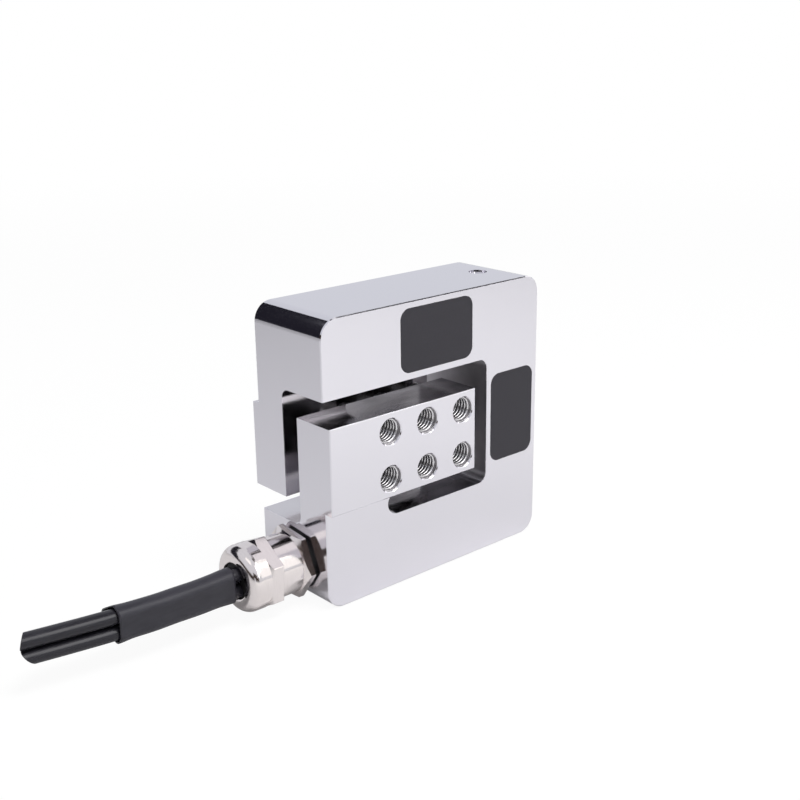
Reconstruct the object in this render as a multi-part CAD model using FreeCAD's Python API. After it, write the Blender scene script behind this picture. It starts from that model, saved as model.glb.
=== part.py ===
import FreeCAD, Part
import math
import os
from FreeCAD import Matrix, Placement, Vector

# Three-axis force sensor, in millimetres.
# The origin is the centre of the block's bottom face: X runs from the cable end to the column, Y from the
# front plate to the rear plate, Z up.
# One milled block carries the load in turn through its lower beam, its column and its upper beam. The front
# plate stands on the lower beam at the cable end, and the rear plate hangs from the upper beam there, so
# that the rear is the front turned half a turn about X. Each beam is thinned to a web by two pockets, with
# strain gauges on the web and a cover over each pocket.

# Driving dimensions of the block
beam_height = 24.0
slot_height = 7.5
plate_height = 27.0
plate_length = 58.5
end_gap = 8.0
column_width = 23.5
plate_depth = 12.5
plate_gap = 7.0
pad_rise = 3.0
root_length = 24.0
corner_radius = 6.0
window_corner_radius = 3.25
root_fillet_radius = 3.0
edge_break = 0.3
tool_overrun = 2.0

# Tapped mounting holes, three columns by two rows in each plate
thread_diameter = 8.0
hole_pitch_x = 15.0
hole_pitch_z = 15.0
hole_columns = 3
hole_rows = 2
first_hole_inset = 23.0
hole_chamfer = 0.4

# Gauge pockets and their covers
cover_length = 30.0
cover_margin = 2.0
y_cover_width = 20.0
cover_thickness = 1.5
cover_corner_radius = 3.5
cover_clearance = 0.1
lower_cover_recess = 0.2
ledge_width = 2.0
web_thickness = 5.0

# Strain gauges, terminal boards and leads
gauge_size = 10.0
gauge_thickness = 0.2
grid_width = 2.6
grid_thickness = 0.05
board_length = 5.0
board_width = 10.0
board_thickness = 1.0
board_end_gap = 1.0
pad_diameter = 1.4
pad_height = 0.3
pad_pitch = 2.2
pad_count = 4
lead_diameter = 1.4
lead_spacing = 1.8
lead_bend_radius = 1.5
bend_share = 0.45

# Wire ducts and the plug that closes the drilling in the top face
duct_diameter = 4.0
duct_overlap = 1.0
duct_end_share = 0.35
junction_inset = 14.0
plug_diameter = 6.0
plug_length = 5.0
plug_depth = 1.0
plug_seat_depth = 7.0
plug_socket_flats = 3.0
plug_socket_depth = 2.5
plug_clearance = 0.05

# Cables and sleeve
cable_diameter = 4.6
cable_spacing = 0.25
cable_inner_reach = 12.0
cut_reach = 85.5
cut_slant = 33.0
sleeve_start = 25.0
sleeve_end = 62.0
sleeve_wall = 0.45
sleeve_clearance = 0.15

# Cable gland, with lengths measured outwards from the block's end face
gland_thread_diameter = 16.0
gland_thread_length = 10.0
gland_thread_clearance = 0.1
gland_across_flats = 20.0
hexagon_corner_radius = 0.5
hexagon_edge_break = 0.2
hexagon_chamfer_angle = 30.0
gland_turn = 24.2
nut_turn = -4.2
washer_thickness = 0.8
washer_margin = 0.3
gland_hexagon_length = 3.0
collar_length = 7.7
collar_step = 0.5
neck_length = 7.0
neck_wall = 1.4
nut_gap = 0.1
nut_hexagon_length = 4.3
dome_length = 6.8
dome_rise = 0.4
dome_radius = 3.5
mouth_clearance = 0.5
mouth_rounding = 0.6
fit_clearance = 0.05
bore_clearance = 0.3
seal_wall = 1.1
claw_wall = 0.65
claw_slots = 6
claw_slot_width = 1.2
claw_root_length = 3.5
claw_shoulder = 3.7
chamber_depth = 10.5

# Sizes that follow
block_width = plate_length + end_gap + column_width
block_depth = 2 * plate_depth + plate_gap
block_height = 2 * (beam_height + slot_height) + plate_height
left = -block_width / 2
right = block_width / 2
front = -block_depth / 2
rear = block_depth / 2
half_gap = plate_gap / 2
window_bottom = beam_height
window_top = block_height - beam_height
plate_bottom = window_bottom + slot_height
plate_top = window_top - slot_height
plate_end = left + plate_length
window_end = right - column_width
root_end = left + root_length
column_centre = right - column_width / 2
upper_beam_centre = block_height - beam_height / 2
lower_beam_centre = beam_height / 2


x_axis = Vector(1, 0, 0)
y_axis = Vector(0, 1, 0)
z_axis = Vector(0, 0, 1)


def runs_along(edge, axis):
    """Whether a straight edge is parallel to an axis."""
    return abs(edge.tangentAt(edge.FirstParameter).dot(axis)) > 0.99


def end_rims(shape, axis):
    """The edges round the flat faces that a shape has square to an axis."""
    rims = []
    for face in shape.Faces:
        if abs(face.normalAt(0, 0).dot(axis)) > 0.99:
            rims.extend(face.Edges)
    return rims


def box(low, high):
    """A box between two opposite corners."""
    size = high - low
    return Part.makeBox(size.x, size.y, size.z, low)


def frame_at(origin, along, outward):
    """The placement whose local X runs along a direction and whose local Z points outwards."""
    sideways = outward.cross(along)
    return Placement(
        Matrix(
            along.x, sideways.x, outward.x, origin.x,
            along.y, sideways.y, outward.y, origin.y,
            along.z, sideways.z, outward.z, origin.z,
            0, 0, 0, 1,
        )
    )


def placed(shape, placement):
    """The shape moved from local coordinates to the part's frame."""
    copy = shape.copy()
    copy.Placement = placement.multiply(copy.Placement)
    return copy


def rounded_prism(length, width, radius, low, high):
    """A prism of rounded rectangular section about local Z, between two heights."""
    size_x = length / 2
    size_y = width / 2
    prism = box(Vector(-size_x, -size_y, low), Vector(size_x, size_y, high))
    upright = [edge for edge in prism.Edges if runs_along(edge, z_axis)]
    return prism.makeFillet(radius, upright)


def hexagon_prism(across_flats, low, high, turn):
    """A hexagonal prism about local Z, with one corner at an angle from local X."""
    circumradius = across_flats / math.sqrt(3)
    corners = []
    for index in range(7):
        angle = math.radians(turn + 60 * index)
        corners.append(Vector(circumradius * math.cos(angle), circumradius * math.sin(angle), low))
    return Part.Face(Part.makePolygon(corners)).extrude(Vector(0, 0, high - low))


def spanner_hexagon(across_flats, low, high, turn, chamfer_radius):
    """A hexagonal prism about local Z with rounded corners and a broken low rim.

    A turned cone, which has the chamfer's radius at the high end, cuts its corners back there.
    """
    prism = hexagon_prism(across_flats, low, high, turn)
    corners = [edge for edge in prism.Edges if runs_along(edge, z_axis)]
    prism = prism.makeFillet(hexagon_corner_radius, corners)
    low_rim = [edge for edge in end_rims(prism, z_axis) if edge.CenterOfMass.z < (low + high) / 2]
    prism = prism.makeChamfer(hexagon_edge_break, low_rim)
    slope = math.tan(math.radians(hexagon_chamfer_angle))
    corner_reach = across_flats / math.sqrt(3)
    cone_start = Vector(corner_reach, 0, high - (corner_reach - chamfer_radius) * slope)
    cone_end = Vector(chamfer_radius - tool_overrun / slope, 0, high + tool_overrun)
    outer_foot = Vector(corner_reach, 0, low - tool_overrun)
    inner_foot = Vector(0, 0, low - tool_overrun)
    inner_top = Vector(0, 0, high + tool_overrun)
    envelope = [
        line(inner_foot, outer_foot),
        line(outer_foot, cone_start),
        line(cone_start, cone_end),
        line(cone_end, inner_top),
        line(inner_top, inner_foot),
    ]
    return prism.common(turned(envelope))


def cylinder(radius, low, high):
    """A cylinder about local Z."""
    return Part.makeCylinder(radius, high - low, Vector(0, 0, low))


def rod_between(start, end, radius):
    """A round rod from one point to another."""
    return Part.makeCylinder(radius, (end - start).Length, start, end - start)


def turned(edges):
    """The solid that a closed half section in the local XZ plane makes when it is turned about local Z."""
    section = Part.Face(Part.Wire(edges))
    return section.revolve(Vector(0, 0, 0), Vector(0, 0, 1), 360)


def line(start, end):
    """A straight edge."""
    return Part.LineSegment(start, end).toShape()


def quarter_arc(centre, radius, first_angle):
    """A quarter circle in the local XZ plane, from an angle in degrees measured from X towards Z."""
    points = []
    for angle in (first_angle, first_angle + 45, first_angle + 90):
        turn = math.radians(angle)
        points.append(centre + Vector(radius * math.cos(turn), 0, radius * math.sin(turn)))
    return Part.Arc(*points).toShape()


def largest_bend(points, limit=None):
    """The bend radius at each inner point of a route, as large as its runs and a limit allow."""
    radii = []
    for before, corner, after in zip(points, points[1:], points[2:]):
        turn = (corner - before).getAngle(after - corner)
        shorter_run = min((corner - before).Length, (after - corner).Length)
        radius = bend_share * shorter_run / math.tan(turn / 2)
        radii.append(radius if limit is None else min(radius, limit))
    return radii


def routed_wire(points, radii):
    """Straight runs through a route's points, joined by tangent arcs."""
    edges = []
    start = points[0]
    for before, corner, after, radius in zip(points, points[1:], points[2:], radii):
        incoming = (corner - before).normalize()
        outgoing = (after - corner).normalize()
        half_turn = incoming.getAngle(outgoing) / 2
        setback = radius * math.tan(half_turn)
        inwards = (outgoing - incoming).normalize()
        arc_start = corner - incoming * setback
        arc_middle = corner + inwards * (radius / math.cos(half_turn) - radius)
        arc_end = corner + outgoing * setback
        edges.append(line(start, arc_start))
        edges.append(Part.Arc(arc_start, arc_middle, arc_end).toShape())
        start = arc_end
    edges.append(line(start, points[-1]))
    return Part.Wire(edges)


def tube(points, diameter, bend_limit=None):
    """A round solid along a route."""
    path = routed_wire(points, largest_bend(points, bend_limit))
    section = Part.Wire([Part.Circle(points[0], points[1] - points[0], diameter / 2).toShape()])
    return path.makePipeShell([section], True, False)


# Gauge pockets: a frame on the outer face of each, its cover's sides and its depth to the web
class Pocket:
    def __init__(self, origin, along, outward, cover_width, beam_depth, recess=0.0):
        self.frame = frame_at(origin, along, outward)
        self.cover_width = cover_width
        self.depth = (beam_depth - web_thickness) / 2
        self.recess = recess
        self.inner_length = cover_length - 2 * ledge_width
        self.inner_width = cover_width - 2 * ledge_width
        self.lead_height = -(cover_thickness + self.depth) / 2

    def point(self, along, across, height):
        """A point of the pocket's own frame, in the part's frame."""
        return self.frame.multVec(Vector(along, across, height))

    def void(self):
        """The recess for the cover and the milled hollow below it."""
        seat = -cover_thickness - self.recess
        recess = rounded_prism(
            cover_length, self.cover_width, cover_corner_radius, seat, tool_overrun
        )
        hollow = rounded_prism(
            self.inner_length, self.inner_width, cover_corner_radius, -self.depth, tool_overrun
        )
        return placed(recess.fuse(hollow), self.frame)

    def cover(self):
        """The plate that lies on the ledge, flush with the face or sunk by the recess."""
        plate = rounded_prism(
            cover_length - 2 * cover_clearance,
            self.cover_width - 2 * cover_clearance,
            cover_corner_radius - cover_clearance,
            -cover_thickness - self.recess,
            -self.recess,
        )
        return placed(plate, self.frame)

    def gauge(self):
        """A strain gauge bonded to the web: its backing with two grids of foil."""
        floor = -self.depth
        top = floor + gauge_thickness
        backing = box(
            Vector(-gauge_size / 2, -gauge_size / 2, floor), Vector(gauge_size / 2, gauge_size / 2, top)
        )
        grid_centre = gauge_size / 4
        for side in (-1, 1):
            grid = box(
                Vector(side * grid_centre - grid_width / 2, -gauge_size / 2 + grid_width / 2, top),
                Vector(
                    side * grid_centre + grid_width / 2,
                    gauge_size / 2 - grid_width / 2,
                    top + grid_thickness,
                ),
            )
            backing = backing.fuse(grid)
        return placed(backing, self.frame)

    def board_centre(self, end):
        """How far along the pocket its terminal board lies, at the end given by a sign."""
        return end * (self.inner_length / 2 - board_end_gap - board_length / 2)

    def board(self, end):
        """A terminal board on the web beside the gauge, with a row of solder pads."""
        floor = -self.depth
        top = floor + board_thickness
        centre = self.board_centre(end)
        board = box(
            Vector(centre - board_length / 2, -board_width / 2, floor),
            Vector(centre + board_length / 2, board_width / 2, top),
        )
        first_pad = -pad_pitch * (pad_count - 1) / 2
        for index in range(pad_count):
            pad = cylinder(pad_diameter / 2, top, top + pad_height)
            pad.translate(Vector(centre + end * board_length / 4, first_pad + index * pad_pitch, 0))
            board = board.fuse(pad)
        return placed(board, self.frame)

    def lead_start(self, end):
        """The first points of a lead: up from the board, then level to the wall where its duct begins."""
        centre = self.board_centre(end)
        return [
            self.point(centre, 0, -self.depth + board_thickness),
            self.point(centre, 0, self.lead_height),
            self.duct_mouth(end),
        ]

    def duct_mouth(self, end):
        """Where a duct leaves the pocket's end wall."""
        return self.point(end * self.inner_length / 2, 0, self.lead_height)


beam_cover_width = beam_height - 2 * cover_margin
column_cover_width = column_width - 2 * cover_margin
middle = block_height / 2

pockets = {
    "z_front": Pocket(Vector(0, front, upper_beam_centre), x_axis, -y_axis, beam_cover_width, block_depth),
    "z_rear": Pocket(Vector(0, rear, upper_beam_centre), x_axis, y_axis, beam_cover_width, block_depth),
    "x_front": Pocket(Vector(column_centre, front, middle), z_axis, -y_axis, column_cover_width, block_depth),
    "x_rear": Pocket(Vector(column_centre, rear, middle), z_axis, y_axis, column_cover_width, block_depth),
    "y_upper": Pocket(Vector(0, 0, beam_height), x_axis, z_axis, y_cover_width, beam_height),
    "y_lower": Pocket(Vector(0, 0, 0), x_axis, -z_axis, y_cover_width, beam_height, lower_cover_recess),
}
upper_junction = Vector(column_centre, 0, block_height - junction_inset)
lower_junction = Vector(column_centre, 0, junction_inset)

# Cable gland: its own frame has local Z outwards along the cable and local X up
gland_axis = Vector(left, 0, lower_beam_centre)
gland_frame = frame_at(gland_axis, z_axis, -x_axis)
cable_pitch_radius = (cable_diameter + cable_spacing) / math.sqrt(3)
bundle_radius = cable_pitch_radius + cable_diameter / 2
cable_angles = {"upper_cable": 120.0, "lower_cable": 240.0, "rear_cable": 0.0}
gland_bore = bundle_radius + bore_clearance
seal_radius = bundle_radius + seal_wall
claw_bore = seal_radius + fit_clearance
claw_radius = claw_bore + claw_wall
neck_bore = claw_radius + fit_clearance
neck_radius = neck_bore + neck_wall
nut_bore = neck_radius + gland_thread_clearance
mouth_radius = bundle_radius + mouth_clearance
gland_stub_radius = gland_thread_diameter / 2 - gland_thread_clearance
hexagon_end = washer_thickness + gland_hexagon_length
collar_end = hexagon_end + collar_length
neck_end = collar_end + neck_length
nut_start = collar_end + nut_gap
dome_start = nut_start + nut_hexagon_length
dome_end = dome_start + dome_length
seat_height = hexagon_end + claw_shoulder


def around_bundle(radius, angle):
    """A vector square to X, at an angle in degrees from Y towards Z."""
    turn = math.radians(angle)
    return Vector(0, radius * math.cos(turn), radius * math.sin(turn))


def cable_offset(name):
    """Where a cable lies in the bundle, measured from the bundle's centre line."""
    return around_bundle(cable_pitch_radius, cable_angles[name])


# The bundle's route, out from the block's end face: distance, then drift to the rear and upwards
bundle_route = [
    (-cable_inner_reach, 0.0, 0.0),
    (35.0, 0.0, 0.0),
    (50.0, 0.35, 0.05),
    (68.0, 1.7, 0.45),
    (91.0, 4.65, 1.3),
]


def bundle_points():
    """The route of the bundle's centre line in the part's frame."""
    return [gland_axis + Vector(-reach, to_rear, rise) for reach, to_rear, rise in bundle_route]


def place_on_run(index, reach):
    """The point at a distance from the block's end face, on the straight run that follows a route point."""
    points = bundle_points()
    run_start, run_end = bundle_route[index][0], bundle_route[index + 1][0]
    share = (reach - run_start) / (run_end - run_start)
    return points[index] + (points[index + 1] - points[index]) * share


def slot_tool():
    """The C-shaped slot round the front plate, cut from the front to the middle of the gap."""
    end_radius = slot_height / 2
    corner = window_corner_radius
    diagonal = corner * (1 - math.sqrt(0.5))
    outside = left - tool_overrun

    def at(x, z):
        return Vector(x, 0, z)

    edges = [
        line(at(outside, window_top), at(window_end - corner, window_top)),
        Part.Arc(
            at(window_end - corner, window_top),
            at(window_end - diagonal, window_top - diagonal),
            at(window_end, window_top - corner),
        ).toShape(),
        line(at(window_end, window_top - corner), at(window_end, window_bottom + corner)),
        Part.Arc(
            at(window_end, window_bottom + corner),
            at(window_end - diagonal, window_bottom + diagonal),
            at(window_end - corner, window_bottom),
        ).toShape(),
        line(at(window_end - corner, window_bottom), at(root_end + end_radius, window_bottom)),
        Part.Arc(
            at(root_end + end_radius, window_bottom),
            at(root_end, window_bottom + end_radius),
            at(root_end + end_radius, plate_bottom),
        ).toShape(),
        line(at(root_end + end_radius, plate_bottom), at(plate_end, plate_bottom)),
        line(at(plate_end, plate_bottom), at(plate_end, plate_top)),
        line(at(plate_end, plate_top), at(outside, plate_top)),
        line(at(outside, plate_top), at(outside, window_top)),
    ]
    return Part.Face(Part.Wire(edges)).extrude(Vector(0, front - pad_rise - tool_overrun, 0))


def half_turn_about_x(shape):
    """A copy turned half a turn about the X line through the block's middle: front becomes rear."""
    copy = shape.copy()
    copy.rotate(Vector(0, 0, middle), x_axis, 180)
    return copy


def gap_tool():
    """The gap between the two plates, with a fillet in the corner at each plate's root."""
    gap = box(
        Vector(left - tool_overrun, -half_gap, window_bottom),
        Vector(window_end - window_corner_radius, half_gap, window_top),
    )
    root_corners = []
    for edge in gap.Edges:
        centre = edge.CenterOfMass
        at_front_root = centre.y < 0 and centre.z < middle
        at_rear_root = centre.y > 0 and centre.z > middle
        if runs_along(edge, x_axis) and (at_front_root or at_rear_root):
            root_corners.append(edge)
    return gap.makeFillet(root_fillet_radius, root_corners)


def mounting_hole(x, z):
    """One tapped hole through the front plate at its full thread diameter, chamfered at the pad."""
    pad_face = front - pad_rise
    radius = thread_diameter / 2
    hole = Part.makeCylinder(radius, -pad_face + tool_overrun, Vector(x, pad_face - tool_overrun, z), y_axis)
    mouth = Part.makeCone(
        radius + 2 * hole_chamfer, radius, 2 * hole_chamfer, Vector(x, pad_face - hole_chamfer, z), y_axis
    )
    return hole.fuse(mouth)


def outer_block():
    """The block before milling: rounded corners, broken edges and the two raised pads."""
    outline = box(Vector(left, front, 0), Vector(right, rear, block_height))
    corners = [edge for edge in outline.Edges if runs_along(edge, y_axis)]
    block = outline.makeFillet(corner_radius, corners)
    block = block.makeChamfer(edge_break, end_rims(block, y_axis))
    pad = box(Vector(left, front - pad_rise, plate_bottom), Vector(plate_end, 0, plate_top))
    pad_rim = [edge for edge in pad.Edges if edge.CenterOfMass.y < front - pad_rise + edge_break / 2]
    pad = pad.makeChamfer(edge_break, pad_rim)
    return block.fuse([pad, half_turn_about_x(pad)])


def duct_tools():
    """The drillings that join the pockets, the cable's chamber and the plugged hole in the top face."""
    radius = duct_diameter / 2
    routes = [
        (pockets["z_front"].duct_mouth(1), upper_junction),
        (pockets["z_rear"].duct_mouth(1), upper_junction),
        (pockets["x_front"].duct_mouth(1), upper_junction),
        (pockets["x_rear"].duct_mouth(1), upper_junction),
        (pockets["x_front"].duct_mouth(-1), lower_junction),
        (pockets["x_rear"].duct_mouth(-1), lower_junction),
        (pockets["y_upper"].duct_mouth(1), lower_junction),
        (pockets["y_lower"].duct_mouth(1), lower_junction),
        (pockets["y_upper"].duct_mouth(-1), chamber_point("y_upper", 0.0)),
        (pockets["y_lower"].duct_mouth(-1), chamber_point("y_lower", 0.0)),
    ]
    tools = [Part.makeSphere(radius, upper_junction), Part.makeSphere(radius, lower_junction)]
    for mouth, end in routes:
        direction = (end - mouth).normalize()
        tools.append(rod_between(mouth - direction * duct_overlap, end, radius))
    top = Vector(column_centre, 0, block_height)
    tools.append(rod_between(top, upper_junction, radius))
    tools.append(rod_between(top + z_axis * tool_overrun, top - z_axis * plug_seat_depth, plug_diameter / 2))
    return tools


def chamber_point(pocket_name, across):
    """Where a duct from a lower-beam pocket ends, a duct's width inside the cable's chamber."""
    pocket = pockets[pocket_name]
    height = pocket.duct_mouth(-1).z
    towards_axis = lower_beam_centre - height
    depth = gland_thread_length + chamber_depth - duct_diameter / 2
    return Vector(left + depth, across, lower_beam_centre - towards_axis * duct_end_share)


def gland_port_tool():
    """The tapped port for the gland and the chamber where leads and cables meet."""
    thread_floor = -gland_thread_length - fit_clearance
    port = cylinder(gland_thread_diameter / 2, thread_floor, tool_overrun)
    chamber = cylinder(gland_bore, -gland_thread_length - chamber_depth, 0)
    return placed(port.fuse(chamber), gland_frame)


def sensor_body():
    """The milled block with both plates, all pockets, ducts and tapped holes."""
    tools = [slot_tool(), half_turn_about_x(slot_tool()), gap_tool(), gland_port_tool()]
    tools.extend(pocket.void() for pocket in pockets.values())
    tools.extend(duct_tools())
    for column in range(hole_columns):
        for row in range(hole_rows):
            x = left + first_hole_inset + column * hole_pitch_x
            z = middle + (row - (hole_rows - 1) / 2) * hole_pitch_z
            hole = mounting_hole(x, z)
            tools.append(hole)
            tools.append(half_turn_about_x(hole))
    return outer_block().cut(tools).removeSplitter()


def duct_plug():
    """The set screw that closes the drilling in the top face, with its hexagon socket."""
    top = block_height - plug_depth
    screw = cylinder(plug_diameter / 2 - plug_clearance, top - plug_length, top)
    screw = screw.makeChamfer(edge_break, end_rims(screw, z_axis))
    socket = hexagon_prism(plug_socket_flats, top - plug_socket_depth, top + tool_overrun, 0)
    screw = screw.cut(socket)
    screw.translate(Vector(column_centre, 0, 0))
    return screw


def gland_body():
    """The gland's turned body: threaded stub, hexagon, collar and the neck that the nut is screwed on."""
    stub = cylinder(gland_stub_radius, -gland_thread_length, washer_thickness)
    collar_radius = gland_across_flats / 2 - collar_step
    hexagon = spanner_hexagon(gland_across_flats, washer_thickness, hexagon_end, gland_turn, collar_radius)
    collar = cylinder(collar_radius, hexagon_end, collar_end)
    neck = cylinder(neck_radius, collar_end, neck_end)
    body = hexagon.fuse([stub, collar, neck])
    bore = cylinder(gland_bore, -gland_thread_length - tool_overrun, neck_end)
    seat = cylinder(neck_bore, seat_height, neck_end + tool_overrun)
    return placed(body.cut([bore, seat]).removeSplitter(), gland_frame)


def gland_washer():
    """The flat seal between the gland's hexagon and the block."""
    ring = cylinder(gland_across_flats / 2 - washer_margin, 0, washer_thickness)
    ring = ring.cut(cylinder(gland_thread_diameter / 2, -tool_overrun, tool_overrun))
    return placed(ring, gland_frame)


def gland_nut():
    """The clamping nut: a hexagon with a domed end, bored for the neck and open at its mouth."""
    radius = gland_across_flats / 2 + dome_rise
    rounded_from = dome_end - dome_radius
    dome_centre = Vector(radius - dome_radius, 0, rounded_from)
    lip_centre = Vector(mouth_radius + mouth_rounding, 0, dome_end - mouth_rounding)
    cone_start = neck_end + fit_clearance
    cone_end = cone_start + nut_bore - mouth_radius
    section = [
        line(Vector(mouth_radius, 0, cone_end), Vector(nut_bore, 0, cone_start)),
        line(Vector(nut_bore, 0, cone_start), Vector(nut_bore, 0, dome_start)),
        line(Vector(nut_bore, 0, dome_start), Vector(radius, 0, dome_start)),
        line(Vector(radius, 0, dome_start), Vector(radius, 0, rounded_from)),
        quarter_arc(dome_centre, dome_radius, 0),
        line(Vector(radius - dome_radius, 0, dome_end), Vector(lip_centre.x, 0, dome_end)),
        quarter_arc(lip_centre, mouth_rounding, 90),
        line(Vector(mouth_radius, 0, lip_centre.z), Vector(mouth_radius, 0, cone_end)),
    ]
    hexagon = spanner_hexagon(gland_across_flats, nut_start, dome_start, nut_turn, radius)
    hexagon = hexagon.cut(cylinder(nut_bore, nut_start - tool_overrun, dome_start + tool_overrun))
    return placed(hexagon.fuse(turned(section)).removeSplitter(), gland_frame)


def gland_seal():
    """The rubber seal with a hole for each cable and a nose that fills the nut's mouth."""
    nose_radius = mouth_radius - 2 * fit_clearance
    nose_end = dome_end - mouth_rounding
    sleeve = cylinder(seal_radius, seat_height, neck_end)
    nose = cylinder(nose_radius, neck_end, nose_end)
    nose_rim = [edge for edge in nose.Edges if edge.CenterOfMass.z > nose_end - edge_break]
    nose = nose.makeFillet(edge_break, [edge for edge in nose_rim if isinstance(edge.Curve, Part.Circle)])
    seal = placed(sleeve.fuse(nose).removeSplitter(), gland_frame)
    hole_radius = cable_diameter / 2 + fit_clearance
    far_end = gland_axis - x_axis * (dome_end + tool_overrun)
    for name in cable_angles:
        offset = cable_offset(name)
        seal = seal.cut(rod_between(gland_axis + offset, far_end + offset, hole_radius))
    return seal


def gland_claw():
    """The slotted clamping ring that the nut presses on to the seal."""
    ring = cylinder(claw_radius, seat_height, neck_end)
    ring = ring.cut(cylinder(claw_bore, seat_height - tool_overrun, neck_end + tool_overrun))
    slot_start = seat_height + claw_root_length
    for index in range(claw_slots):
        slot = box(
            Vector(0, -claw_slot_width / 2, slot_start),
            Vector(claw_radius + tool_overrun, claw_slot_width / 2, neck_end + tool_overrun),
        )
        slot.rotate(Vector(0, 0, 0), z_axis, 360 * index / claw_slots)
        ring = ring.cut(slot)
    return placed(ring, gland_frame)


def cut_off():
    """The space beyond the slanting cut that ends all three cables, longest at the front."""
    slant = math.radians(cut_slant)
    outward = y_axis * math.sin(slant) - x_axis * math.cos(slant)
    reach = 2 * bundle_radius
    beyond = box(Vector(-reach, -reach, 0), Vector(reach, reach, reach))
    return placed(beyond, frame_at(place_on_run(3, cut_reach), z_axis, outward))


def cable(name):
    """One cable from the chamber through the seal to its cut end."""
    offset = cable_offset(name)
    uncut = tube([point + offset for point in bundle_points()], cable_diameter)
    return uncut.cut(cut_off())


def bundle_outline(start, radius):
    """A closed wire round the three cables, at a distance from each one's centre."""
    angles = sorted(cable_angles.values())
    half_arc = 180 / len(angles)

    def at(angle, swing):
        centre = start + around_bundle(cable_pitch_radius, angle)
        return centre + around_bundle(radius, angle + swing)

    edges = []
    for index, angle in enumerate(angles):
        following = angles[(index + 1) % len(angles)]
        edges.append(Part.Arc(at(angle, -half_arc), at(angle, 0), at(angle, half_arc)).toShape())
        edges.append(line(at(angle, half_arc), at(following, -half_arc)))
    return Part.Wire(edges)


def cable_sleeve():
    """The shrunk sleeve: a thin wall that follows the bundle's outline along part of its route."""
    points = bundle_points()
    radii = largest_bend(points)
    start = gland_axis - x_axis * sleeve_start
    path = routed_wire([start, points[1], points[2], place_on_run(2, sleeve_end)], radii[:2])
    inner_radius = cable_diameter / 2 + sleeve_clearance
    outside = path.makePipeShell([bundle_outline(start, inner_radius + sleeve_wall)], True, False)
    inside = path.makePipeShell([bundle_outline(start, inner_radius)], True, False)
    return outside.cut(inside)


def lead_end(name, pocket_name, sideways):
    """The last points of a lead: from the chamber's duct to the inner end of its cable."""
    inner_end = bundle_points()[0] + cable_offset(name)
    return [chamber_point(pocket_name, sideways), inner_end + x_axis * lead_spacing, inner_end]


def y_lead():
    """From the upper pocket of the lower beam to the upper cable."""
    points = pockets["y_upper"].lead_start(-1) + lead_end("upper_cable", "y_upper", 0.0)
    return tube(points, lead_diameter, lead_bend_radius)


def shared_run(side):
    """The run that two leads share side by side, from the lower junction through the lower pocket."""
    pocket = pockets["y_lower"]
    aside = y_axis * (side * lead_spacing / 2)
    return [lower_junction + aside, pocket.duct_mouth(1) + aside, pocket.duct_mouth(-1) + aside]


def x_lead():
    """From the front pocket of the column to the lower cable."""
    points = pockets["x_front"].lead_start(-1) + shared_run(-1)
    points += lead_end("lower_cable", "y_lower", -lead_spacing / 2)
    return tube(points, lead_diameter, lead_bend_radius)


def z_lead():
    """From the rear pocket of the upper beam, by way of the column's rear pocket, to the rear cable."""
    column = pockets["x_rear"]
    points = pockets["z_rear"].lead_start(1)
    points += [upper_junction, column.duct_mouth(1), column.duct_mouth(-1)]
    points += shared_run(1)
    points += lead_end("rear_cable", "y_lower", lead_spacing / 2)
    return tube(points, lead_diameter, lead_bend_radius)


nodes = {"sensor_body": sensor_body(), "duct_plug": duct_plug()}
for name, pocket in pockets.items():
    nodes[name + "_cover"] = pocket.cover()
    nodes[name + "_gauge"] = pocket.gauge()
nodes["z_terminal_board"] = pockets["z_rear"].board(1)
nodes["x_terminal_board"] = pockets["x_front"].board(-1)
nodes["y_terminal_board"] = pockets["y_upper"].board(-1)
nodes["z_lead"] = z_lead()
nodes["x_lead"] = x_lead()
nodes["y_lead"] = y_lead()
nodes["gland_body"] = gland_body()
nodes["gland_washer"] = gland_washer()
nodes["gland_nut"] = gland_nut()
nodes["gland_seal"] = gland_seal()
nodes["gland_claw"] = gland_claw()
for name in cable_angles:
    nodes[name] = cable(name)
nodes["cable_sleeve"] = cable_sleeve()

os.makedirs("parts", exist_ok=True)
for name, shape in nodes.items():
    solids = shape.Solids
    print(f"{name}: {len(solids)} solid, valid {shape.isValid()}, {shape.Volume:.1f} mm3")
    solid = solids[0] if len(solids) == 1 else shape
    solid.exportStep(f"parts/{name}.step")

print("cable bend radii", [round(radius) for radius in largest_bend(bundle_points())])
section_area = math.pi * cable_diameter**2 / 4
for name in cable_angles:
    print(f"{name}: {nodes[name].Volume / section_area:.1f} mm long")
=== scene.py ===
# %% [markdown]
# # A three-axis force sensor
# A force sensor of this kind is one block of steel, milled so that three of its beams bend a little when
# something pulls on it along X, Y or Z. The block is polished and nickel plated, its gauge pockets are
# closed by thin covers, and three cables leave it through a brass gland. The shapes come from the packed
# CAD model, which is loaded as a fixed frame: lengths are in metres, X runs from the cable end to the
# column, Y from front to rear and Z up. This lesson adds cables, a shrunk sleeve, screw threads,
# finishes, light and a camera.

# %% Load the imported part
import math

import bmesh
import bpy
from mathutils import Color, Matrix, Vector


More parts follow.
